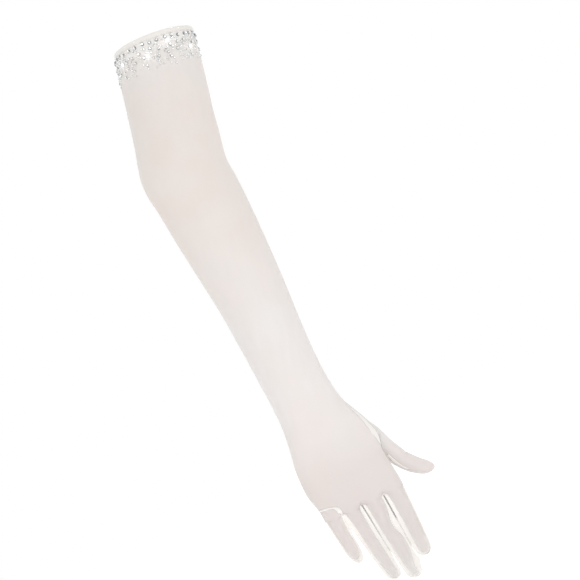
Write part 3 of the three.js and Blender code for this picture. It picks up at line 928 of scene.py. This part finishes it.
def cut(bm, value, near, keep):
    """Cuts the sheet where a value is zero and keeps the side with the sign keep."""
    verts = [vert for vert in bm.verts if near(vert.co)]
    values = {vert: value(vert.co) for vert in verts}
    edges = dict.fromkeys(edge for vert in verts for edge in vert.link_edges)
    faces = dict.fromkeys(face for vert in verts for face in vert.link_faces)
    for edge in edges:
        a, b = edge.verts
        if a in values and b in values and values[a] * values[b] < 0:
            share = values[a] / (values[a] - values[b])
            _, made = bmesh.utils.edge_split(edge, a, share)
            values[made] = 0.0
    for face in faces:
        on_line = [vert for vert in face.verts if values.get(vert) == 0.0]
        if len(on_line) == 2 and len(face.verts) > 3:
            linked = any(on_line[1] in edge.verts for edge in on_line[0].link_edges)
            if not linked:
                bmesh.utils.face_split(face, on_line[0], on_line[1])
    gone = []
    for face in bm.faces:
        total = [values[vert] for vert in face.verts if vert in values]
        if len(total) == len(face.verts) and sum(total) * keep < 0:
            gone.append(face)
    bmesh.ops.delete(bm, geom=gone, context="FACES")


def longest_open_edge(bm, near):
    """The longest chain of points along the sheet's open edges within a region."""
    left = dict.fromkeys(
        edge for edge in bm.edges if edge.is_boundary and all(near(v.co) for v in edge.verts))
    longest = []
    while left:
        edge = next(iter(left))
        del left[edge]
        chain = list(edge.verts)
        for _ in range(2):
            while found := next((e for e in chain[-1].link_edges if e in left), None):
                del left[found]
                chain.append(found.other_vert(chain[-1]))
            chain.reverse()
        longest = max(longest, chain, key=len)
    return np.array([vert.co for vert in longest])


whole_sheet = glove_sheet()
whole_surface = BVHTree.FromBMesh(whole_sheet)
cut(whole_sheet, outside_thumb, in_thumb_region, 1)
thumb_hole = longest_open_edge(whole_sheet, in_thumb_region)
little_sheet = whole_sheet.copy()
cut(whole_sheet, outside_little_finger, at_little_finger, 1)
cut(little_sheet, outside_little_finger, at_little_finger, -1)
far = [face for face in little_sheet.faces if not all(at_little_finger(v.co) for v in face.verts)]
bmesh.ops.delete(little_sheet, geom=far, context="FACES")
little_base = longest_open_edge(little_sheet, at_little_finger)
sleeve_and_hand = tulle_piece(whole_sheet, "tulle_sleeve_and_hand", tulle)
little_finger = tulle_piece(little_sheet, "tulle_little_finger", tulle)
thumb_cloth = thumb_sheet()
thumb_surface = BVHTree.FromBMesh(thumb_cloth)
cut(thumb_cloth, outside_palm, in_thumb_region, 1)
thumb = tulle_piece(thumb_cloth, "tulle_thumb", thumb_tulle)

# The hem's profile from its lower edge over the rim and down inside: height and outset
HEM_PROFILE = (
    (-HEM_HEIGHT, 0.00010), (-HEM_HEIGHT + 0.0004, 0.00020), (-0.0006, 0.00030),
    (-0.0001, 0.0001), (0.0, -0.0002), (-0.0001, -0.0006), (-0.0006, -0.0008),
    (-HEM_HEIGHT, -0.0007), (-HEM_HEIGHT, 0.00010))
HEM_SIDES = 384
HEM_PUCKER = 0.00005
HEM_PUCKER_SPAN = 0.25  # about the length of the hem


def folded_hem():
    """The rim folded over: a closed band round the mouth with a rounded top."""
    bm = bmesh.new()
    angle = np.linspace(0, 2 * math.pi, HEM_SIDES + 1)
    pucker = HEM_PUCKER * np.cos(angle * round(HEM_PUCKER_SPAN / STITCH_PITCH))
    rows = np.array([
        section_ring(sleeve_section(z, outset), angle, pucker * (z < -HEM_HEIGHT / 2))
        for z, outset in HEM_PROFILE])
    add_grid(bm, rows, uv_places(arcs(rows, 0), np.array(HEM_PROFILE).sum(axis=1)))
    return object_from(closed_up(bm), "folded_hem")


hem = painted(folded_hem(), double_tulle)


# Seam strips round the fingers

STRIP_RINGS = 40
STRIP_TIP_RINGS = 12
STRIP_SHARES = (0.0, 0.25, 0.5, 0.72, 0.86, 0.95, 1.0)
STRIP_UNDER = 0.0007  # how far a strip reaches into the cloth
STRIP_GAP = 0.00006  # half of what is left between two strips that touch
PARTING_LENGTH = 0.008  # over which they part below that
THIN_EDGE = 0.3  # the share of its thickness that a strip or ribbon keeps at its edge
RIPPLE = 0.00010
RIPPLE_LENGTH = 0.0083
# The painted shade in the creases between the fingers: after which finger, the heights it runs
# between, and how much of its darkness is left at the lower one. From there it goes on faintly
# for as long as the strips touch.
CREASE_SHADES = table(
    "after top bottom left_over",
    (1, -0.4644, -0.4990, 0.38),
    (2, -0.4650, -0.4925, 0.85),
)
CREASE_CORE = 0.00030
CREASE_HALF = 0.00042  # from the core to where the crease has faded
CREASE_SINK = 0.0011
CREASE_START = 0.0012  # over which it darkens at its top
CREASE_END = 0.005
FAINT_CREASE_SHADE = 0.25
# Painted light: the cloth is made lighter beside the fingers' seam strips, lifting the shade there,
# but on the outer sides of the little finger and the index only from these heights down
PALE_REACH = 0.0032
PALE_AMOUNT = 0.45
PALE_LENGTH = 0.006
OUTER_PALE_Z = {0: -0.500, 3: -0.516}


def gap_x(pair, z):
    """Where the middle of the gap between a finger and the next is, at the heights z."""
    places = []
    for index, edge in ((pair, 1), (pair + 1, 0)):
        rows = finger_rows(index, 60, 1, 0.0)[:-1]
        edges = np.array([finger_edges(index, row, 0.0, 0.0)[edge] for row in rows])
        heights = np.array([row[0] for row in rows])
        places.append(np.interp(z, heights[::-1], edges[::-1]))
    return (places[0] + places[1]) / 2


def strip_line(index, side, tip_inset, bordered):
    """One side of a strip's outer edge, or with bordered 1 of its inner edge, to the tip."""
    rows = [np.array(row) for row in finger_rows(index, STRIP_RINGS, STRIP_TIP_RINGS, tip_inset)]
    begin = [mix(rows[0], rows[1], share) for share in (0.08, 0.25, 0.5, 0.75)]
    line = []
    for row in begin + rows[1:]:
        z, _, kept = row
        widths = [bordered * strip_width(index, edge, z) for edge in (-1, 1)]
        left, right, y = finger_edges(index, row, *widths)
        forward = float(seam_forward(index, side, z)) * kept
        line.append((left if side < 0 else right, y - forward, z))
    return np.array(line)


def to_gap(index, side, line):
    """A strip's outer edge, which reaches over to the next strip where the two touch."""
    z = line[:, 2]
    if index == MIDDLE_FINGER and side > 0:
        line[:, 0] += EMPTY_TIP * bell(z - EMPTY_Z, EMPTY_REACH)
    pair = index if side > 0 else index - 1
    if pair in range(len(FINGERS) - 1):
        touching = 1 - smooth_step((STRIPS[pair]["touching_z"] - z) / PARTING_LENGTH)
        line[:, 0] = mix(line[:, 0], gap_x(pair, z) - side * STRIP_GAP, touching)
    return line


def strip_edges(index):
    """The outer and inner edges of a finger's seam strip, round from left to right."""
    outer = [to_gap(index, side, strip_line(index, side, 0.0, 0.0)) for side in (-1, 1)]
    inner = [strip_line(index, side, STRIPS[index]["tip"], 1.0) for side in (-1, 1)]
    return [np.concatenate([left, right[::-1][1:]]) for left, right in (outer, inner)]


def crease_at(points):
    """How deep in the crease between two fingers each point lies, from 0 to 1: the strips sink by it
    and are painted with shade by it.
    """
    depth = np.zeros(len(points))
    x, _, z = points.T
    for crease in CREASE_SHADES:
        pair, top, bottom = crease["after"], crease["top"], crease["bottom"]
        near = 1 - smooth_step((np.abs(x - gap_x(pair, z)) - CREASE_CORE) / CREASE_HALF)
        left_over = mix(1, crease["left_over"], np.clip((top - z) / (top - bottom), 0, 1))
        end = mix(FAINT_CREASE_SHADE, left_over, smooth_step((z - bottom) / CREASE_END))
        along = smooth_step((top - z) / CREASE_START) * end
        depth = np.maximum(depth, near * along * (z > STRIPS[pair]["touching_z"]))
    return depth


def finger_strips():
    """The seam strips of double tulle round the four fingers."""
    bm = bmesh.new()
    for index in range(len(FINGERS)):
        outer, inner = strip_edges(index)
        run = run_along(outer)
        ripple = RIPPLE * np.sin(run * 2 * math.pi / RIPPLE_LENGTH + index)
        under = inner - unit(outer - inner) * STRIP_UNDER
        top = []
        bottom = []
        for share in STRIP_SHARES:
            line = mix(under, outer, share)
            line[:, 1] += ripple * share + CREASE_SINK * crease_at(line)
            half = STRIP_THICKNESS / 2 * (THIN_EDGE if share == 1 else 1)
            top.append(line - (0, half, 0))
            bottom.append(line + (0, half, 0))
        add_band(bm, top, bottom, run)
    return object_from(closed_up(bm), "finger_seam_strips")


def beside_seam_at(points):
    """How near the fingers' seam strips each point lies, seen from the front, up to 1, times the
    amount of painted light it gets there.
    """
    near = np.zeros(len(points))
    chosen = np.flatnonzero(points[:, 2] < FORK_Z)
    for index in range(len(FINGERS)):
        inner = strip_edges(index)[1]
        half = len(inner) // 2
        place = np.arange(len(inner))
        outward = place < half if index == 0 else place > half
        inner = inner[~outward | (inner[:, 2] < OUTER_PALE_Z.get(index, 0.0))]
        for part in np.array_split(chosen, 40):
            away = points[part][:, None, ::2] - inner[None, :, ::2]
            distance = np.linalg.norm(away, axis=2).min(axis=1)
            near[part] = np.maximum(near[part], 1 - smooth_step(distance / PALE_REACH))
    return PALE_AMOUNT * near * below_fork(points[:, 2], PALE_LENGTH)


# The strips carry the creases' painted shade in their crease value.
strips = painted(with_values(finger_strips(), "crease", crease_at), edge_tulle)
# The cloth gets painted light beside the seam strips.
for piece in (sleeve_and_hand, little_finger):
    with_values(piece, "seam_painted_light", beside_seam_at)


# Seams of the thumb and the little finger, the long seam, and a painted shadow line on the thumb

RIBBON_STEP = 0.0015
RIBBON_LIFT = 0.00012  # how far above the cloth a ribbon lies
RIBBON_THICKNESS = 0.0003
THUMB_STRIP = 0.0018
THUMB_STRIP_OVERLAP = 0.0003
BASE_STRIP = 0.0016
LONG_STRIP = 0.0016
LONG_SEAM_ANGLE = -0.62  # on the palm's side, near the little finger's edge
# The little finger's strip is wider beside the ring finger
FORK_BAND = 0.0012
FORK_BAND_X = -0.0385
FORK_BAND_LENGTH = 0.004
# The strip along the glove's edge above the thumb: its inner border, seen from the glove's
# back, and how wide it is from there
EDGE_STRIP = (
    (0.0160, -0.3815, 0.0012), (0.0186, -0.3890, 0.0030), (0.0208, -0.3966, 0.0048),
    (0.0224, -0.4045, 0.0058), (0.0232, -0.4095, 0.0062), (0.0249, -0.4155, 0.0046),
    (0.0258, -0.4225, 0.0026))
EDGE_STRIP_LIFT = 0.00003
# A ribbon painted with shade where the palm's edge lies on the thumb: a painted shadow line
THUMB_JOINT_SHADE_LINE = ((0.0292, -0.4140), (0.0276, -0.4210), (0.0266, -0.4260), (0.0267, -0.4320),
               (0.0270, -0.4390), (0.0280, -0.4430))
THUMB_JOINT_WIDTH = 0.0010
THUMB_JOINT_SHADE = 0.18
# The thumb's own seam strip, along its lower edge
THUMB_EDGE = ((0.0276, -0.4350), (0.0296, -0.4404), (0.0312, -0.4441), (0.0332, -0.4480),
              (0.0362, -0.4524), (0.0398, -0.4561))
THUMB_EDGE_STRIP = 0.0027


def even_path(points):
    """The same closed path with its points evenly spaced."""
    run = run_along(points)
    places = np.linspace(0, run[-1], int(round(run[-1] / RIBBON_STEP)) + 1)
    return np.stack([np.interp(places, run, points[:, k]) for k in range(3)], axis=-1)


def smooth_path(points, step=RIBBON_STEP):
    """A path of even steps through the points, rounded between them."""
    points = np.asarray(points, dtype=float)
    run = run_along(points)
    rows = [{"run": place, **dict(enumerate(point))} for place, point in zip(run, points)]
    places = np.linspace(0, run[-1], int(run[-1] / step) + 1)
    return np.stack([curve_at(rows, k, "run", places) for k in range(points.shape[1])], axis=-1)


def tangents(path, closed):
    if closed:
        steps = np.roll(path[:-1], -1, axis=0) - np.roll(path[:-1], 1, axis=0)
        steps = np.concatenate([steps, steps[:1]])
    else:
        steps = np.gradient(path, axis=0)
    return unit(steps)


def laid(surface, points, lift=0.0):
    """The points moved to a height above the nearest place of a surface, and its normals."""
    found = [surface.find_nearest(Vector(point))[:2] for point in points]
    places, normals = (np.array(part) for part in zip(*found))
    return places + normals * lift, normals


def seen_from_front(surface, spots):
    """The places of a surface that are seen at x and z from the glove's back."""
    towards = Vector((0, 1, 0))
    return np.array([surface.ray_cast(Vector((x, -0.2, z)), towards)[0] for x, z in spots])


def add_ribbon(bm, surface, path, left, right, closed=False, lift=RIBBON_LIFT, columns=5):
    """Adds a flat ribbon of double tulle that lies on a surface, left and right of a path."""
    path, normals = laid(surface, path)
    side = np.cross(tangents(path, closed), normals)
    left, right = (np.broadcast_to(width, len(path)) for width in (left, right))
    top = []
    bottom = []
    for share in np.linspace(0, 1, columns):
        beside = path + side * mix(-left, right, share)[:, None]
        thickness = RIBBON_THICKNESS * (THIN_EDGE if share in (0, 1) else 1.0)
        top.append(laid(surface, beside, lift + thickness)[0])
        bottom.append(laid(surface, beside, lift)[0])
    add_band(bm, top, bottom, run_along(path), closed)


def loop_ribbon(loop, inward, outward):
    """A ribbon round an opening, with its widths towards the opening and away from it."""
    path, normals = laid(whole_surface, loop)
    side = np.cross(tangents(path, True), normals)
    away = ((path - loop[:-1].mean(axis=0)) * side).sum(axis=1).mean() > 0
    left, right = (inward, outward) if away else (outward, inward)
    return {"surface": whole_surface, "path": loop, "left": left, "right": right, "closed": True}


def thumb_ribbon(spots, width, first, last, step=RIBBON_STEP):
    """A ribbon on the thumb that swells and narrows as a sine does from first to last."""
    path = seen_from_front(thumb_surface, smooth_path(spots, step))
    half = width / 2 * np.sin(np.linspace(first, last, len(path)) * math.pi) ** 0.5
    return {"surface": thumb_surface, "path": path, "left": half, "right": half}


def edge_ribbon():
    """The strip along the glove's edge above the thumb."""
    border = smooth_path(EDGE_STRIP)
    return {"surface": whole_surface, "path": seen_from_front(whole_surface, border[:, :2]),
            "left": border[:, 2], "right": 0.0, "lift": EDGE_STRIP_LIFT, "columns": 9}


def long_seam_path():
    """Down the sleeve from the hem to the little finger's base."""
    heights = np.linspace(-HEM_HEIGHT, LITTLE_SEAM[1][1] + 0.0015, 300)
    return np.array([sleeve_point(LONG_SEAM_ANGLE, z) for z in heights])


def seam_piece(name, *ribbons):
    """A piece made of flat ribbons, each given by the inputs of add_ribbon."""
    bm = bmesh.new()
    for ribbon in ribbons:
        add_ribbon(bm, **ribbon)
    return painted(object_from(closed_up(bm), name), double_tulle)


thumb_loop, little_loop = even_path(thumb_hole), even_path(little_base)
little_half = BASE_STRIP / 2 + FORK_BAND * smooth_step(
    (little_loop[:, 0] - FORK_BAND_X) / FORK_BAND_LENGTH)
# A thin ribbon painted with shade: a painted shadow line where the palm's edge lies on the thumb
thumb_shadow_ribbon = seam_piece(
    "thumb_shadow_ribbon", thumb_ribbon(THUMB_JOINT_SHADE_LINE, THUMB_JOINT_WIDTH, 0.12, 0.95, RIBBON_STEP / 2))
with_values(thumb_shadow_ribbon, "crease", lambda points: np.full(len(points), THUMB_JOINT_SHADE))
thumb_seams = seam_piece(
    "thumb_seams", loop_ribbon(thumb_loop, THUMB_STRIP_OVERLAP, THUMB_STRIP), edge_ribbon(),
    thumb_ribbon(THUMB_EDGE, THUMB_EDGE_STRIP, 0.25, 1))
little_seam = seam_piece(
    "little_finger_seam", loop_ribbon(little_loop, little_half, little_half))
long_seam = seam_piece("long_seam", {
    "surface": whole_surface, "path": long_seam_path(), "left": LONG_STRIP / 2,
    "right": LONG_STRIP / 2})


# Lines of stitches

HEM_STITCH_RISE = 0.0009  # above the hem's lower edge
SEAM_STITCH_INSET = 0.00045


def line_object(name, paths, closed):
    """A mesh of bare edges, for the stitches to follow."""
    bm = bmesh.new()
    for path in paths:
        verts = [bm.verts.new(point) for point in path]
        for a, b in zip(verts, verts[1:]):
            bm.edges.new((a, b))
        if closed:
            bm.edges.new((verts[-1], verts[0]))
    return object_from(bm, name)


def hem_stitch_line():
    section = sleeve_section(-HEM_HEIGHT + HEM_STITCH_RISE, 0.00030)
    return section_ring(section, np.linspace(0, 2 * math.pi, 361)[:-1])


def strip_stitch_lines():
    """Two lines on each finger, front and back, just outside where its strip begins."""
    lines = []
    for index in range(len(FINGERS)):
        outer, inner = strip_edges(index)
        line = inner + unit(outer - inner) * SEAM_STITCH_INSET
        for side in (-1, 1):
            lines.append(line + (0, side * (STRIP_THICKNESS / 2 + 0.0001), 0))
    return lines


def ribbon_stitch_lines():
    lift = RIBBON_LIFT + RIBBON_THICKNESS + 0.00005
    return [laid(whole_surface, path, lift)[0] for path in (long_seam_path(), thumb_loop, little_loop)]


stitches = line_object("stitches", [hem_stitch_line()], True)
with_nodes(stitches, stitch_tree(), {"Material": thread})
seam_stitches = line_object("seam_stitches", strip_stitch_lines() + ribbon_stitch_lines(), False)
with_nodes(seam_stitches, stitch_tree(), {
    "Pitch": 0.0020, "Stitch Length": 0.0014, "Thread Radius": 0.00013, "Material": thread})


# Rhinestones

# Where the larger glints are on the cuff, seen from the glove's back
GLINTS = ((-0.0095, -0.0140), (0.0117, -0.0076), (0.0282, -0.0203), (-0.0328, -0.0096))
GLINT_STONE = 0.0030
# Steps that spread the stones' strays evenly
STEP_ALONG = 0.618034
STEP_ACROSS = 0.754878
ROW_SHIFT = 0.37


def stone_place(angle, z, diameter):
    point = sleeve_point(angle, z)
    around = unit(sleeve_point(angle + 0.01, z) - point)
    outward = unit(np.cross(sleeve_point(angle, z - 0.001) - point, around))
    return {"point": point, "outward": outward, "diameter": diameter}


def stone_seen_at(x, z, diameter):
    """A stone on the front of the sleeve that is seen at x and z."""
    section_z = z
    for _ in range(5):
        section = sleeve_section(section_z)
        angle = math.acos(-(x - section["x"]) / section["half_width"])
        section_z += z - sleeve_point(angle, section_z)[2]
    return stone_place(angle, section_z, diameter)


def has_room(place, others, gap):
    return all(
        np.linalg.norm(place["point"] - other["point"])
        > (place["diameter"] + other["diameter"]) / 2 + gap for other in others)


def row_stones():
    """The larger stones, in rows round the cuff from which they stray a little."""
    number = 0
    for row_number, row in enumerate(STONE_ROWS):
        for i in range(row["count"]):
            number += 1
            along, across = (
                (number * step % 1 - 0.5) * 2 * row["stray"] for step in (STEP_ALONG, STEP_ACROSS))
            z = -row["drop"] - across
            turn = (i + row_number * ROW_SHIFT) / row["count"] % 1
            angle = 2 * math.pi * turn + along / sleeve_section(z)["half_width"]
            yield stone_place(angle, z, row["diameter"])


def fine_stones():
    random = np.random.default_rng(11)
    for kind in FINE_STONES:
        for _ in range(kind["count"]):
            angle = random.uniform(0, 2 * math.pi)
            drop = mix(kind["highest"], kind["lowest"], random.uniform() ** 1.7)
            yield stone_place(angle, -drop, kind["diameter"])


def stone_places():
    """The glinting stones, the larger ones in rows, then finer ones wherever there is room."""
    places = [stone_seen_at(x, z, GLINT_STONE) for x, z in GLINTS]
    for stones, gap in ((row_stones(), -STONE_OVERLAP), (fine_stones(), STONE_GAP)):
        for place in stones:
            if has_room(place, places, gap):
                places.append(place)
    return places


def rhinestones(places):
    mesh = bpy.data.meshes.new("rhinestones")
    mesh.from_pydata([place["point"] for place in places], [], [])
    for name, kind, field in (("outward", "FLOAT_VECTOR", "vector"), ("diameter", "FLOAT", "value")):
        values = np.array([place[name] for place in places]).ravel()
        mesh.attributes.new(name, kind, "POINT").data.foreach_set(field, values)
    made = add_object("rhinestones", mesh)
    return with_nodes(made, rhinestone_tree(), {"Material": rhinestone, "Seed": 3})


all_stones = stone_places()
stones = rhinestones(all_stones)


# Room, light and camera

CAMERA_DISTANCE = 2.75
AIM = Vector((0.0134, 0.0, -0.260))
VIEW_WIDTH = 0.5336  # what the picture's width shows at the glove
VIEW_TURN = math.radians(26)  # the glove hangs this far from upright in the picture
FLOOR_DROP = 0.25
GLINT_LAMP_DISTANCE = 1.5
GLINT_LAMP_SIZE = 0.02
GLINT_LAMP_POWER = 0.0008
STREAK_ANGLE = math.radians(12)


def add_camera():
    camera = add_object("camera", bpy.data.cameras.new("camera"))
    camera.data.lens = camera.data.sensor_width * CAMERA_DISTANCE / VIEW_WIDTH
    right = Vector((math.cos(VIEW_TURN), 0, -math.sin(VIEW_TURN)))
    up = Vector((math.sin(VIEW_TURN), 0, math.cos(VIEW_TURN)))
    back = right.cross(up)
    turn = Matrix((right, up, back)).transposed().to_4x4()
    camera.matrix_world = Matrix.Translation(AIM + back * CAMERA_DISTANCE) @ turn
    bpy.context.scene.camera = camera


def add_floor():
    bm = bmesh.new()
    bmesh.ops.create_circle(bm, cap_ends=True, segments=96, radius=7.0)
    floor = object_from(bm, "floor")
    floor.data.transform(Matrix.Translation((0, 0, cad_box[0].z - FLOOR_DROP)))
    painted(floor, floor_material())


def add_light(name, place, size, power, target=AIM):
    light = bpy.data.lights.new(name, "AREA")
    light.size = size
    light.energy = power
    made = add_object(name, light)
    made.location = place
    made.rotation_euler = (target - Vector(place)).to_track_quat("-Z", "Y").to_euler()
    return made


def add_world():
    world = bpy.data.worlds.new("studio")
    world.use_nodes = True
    background = own_node(world.node_tree, "BACKGROUND")
    fill(world.node_tree, background, {"Color": WHITE, "Strength": 1.0})
    bpy.context.scene.world = world


def add_glint_lamps():
    """A small lamp for each glinting stone, where its table mirrors it to the camera."""
    eye = bpy.context.scene.camera.matrix_world.translation
    for number, place in enumerate(all_stones[:len(GLINTS)]):
        point = Vector(place["point"])
        outward = Vector(place["outward"])
        view = (eye - point).normalized()
        toward = 2 * outward.dot(view) * outward - view
        lamp = add_light(f"glint_{number + 1}", point + toward * GLINT_LAMP_DISTANCE,
                         GLINT_LAMP_SIZE, GLINT_LAMP_POWER, target=point)
        lamp.data.spread = math.radians(12)


def add_star_glare():
    """Small stars on whatever is far brighter than white."""
    scene = bpy.context.scene
    scene.use_nodes = True
    tree = scene.node_tree
    bloom = node(tree, "CompositorNodeGlare", {
        "Image": own_node(tree, "R_LAYERS"), "Threshold": 3.0, "Strength": 0.12, "Size": 0.03},
        glare_type="BLOOM", quality="HIGH")
    star = node(tree, "CompositorNodeGlare", {
        "Image": bloom, "Threshold": 3.0, "Strength": 0.10, "Streaks": 8,
        "Streaks Angle": STREAK_ANGLE, "Iterations": 2, "Fade": 0.7, "Color Modulation": 0.0},
        glare_type="STREAKS", quality="HIGH")
    fill(tree, own_node(tree, "COMPOSITE"), {"Image": star})


add_camera()
add_floor()
add_world()
add_light("key", (-0.9, -1.8, 0.9), 1.6, 7.5)
add_light("fill", (1.3, -1.4, -0.3), 1.4, 4.5)
add_glint_lamps()
add_star_glare()
bpy.context.scene.view_settings.view_transform = "Standard"

# What each piece rides on, and the model's parts that are hidden

cloth = [sleeve_and_hand, little_finger, thumb]
trim = [hem, strips, thumb_shadow_ribbon, thumb_seams, little_seam, long_seam, stitches, seam_stitches]
for piece in cloth + trim + [stones]:
    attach(piece, "root")
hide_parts("sleeve_and_hand", "beaded_cuff")
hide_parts("beaded_cuff")
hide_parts("little_finger")
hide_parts("thumb")
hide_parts("top_hem")
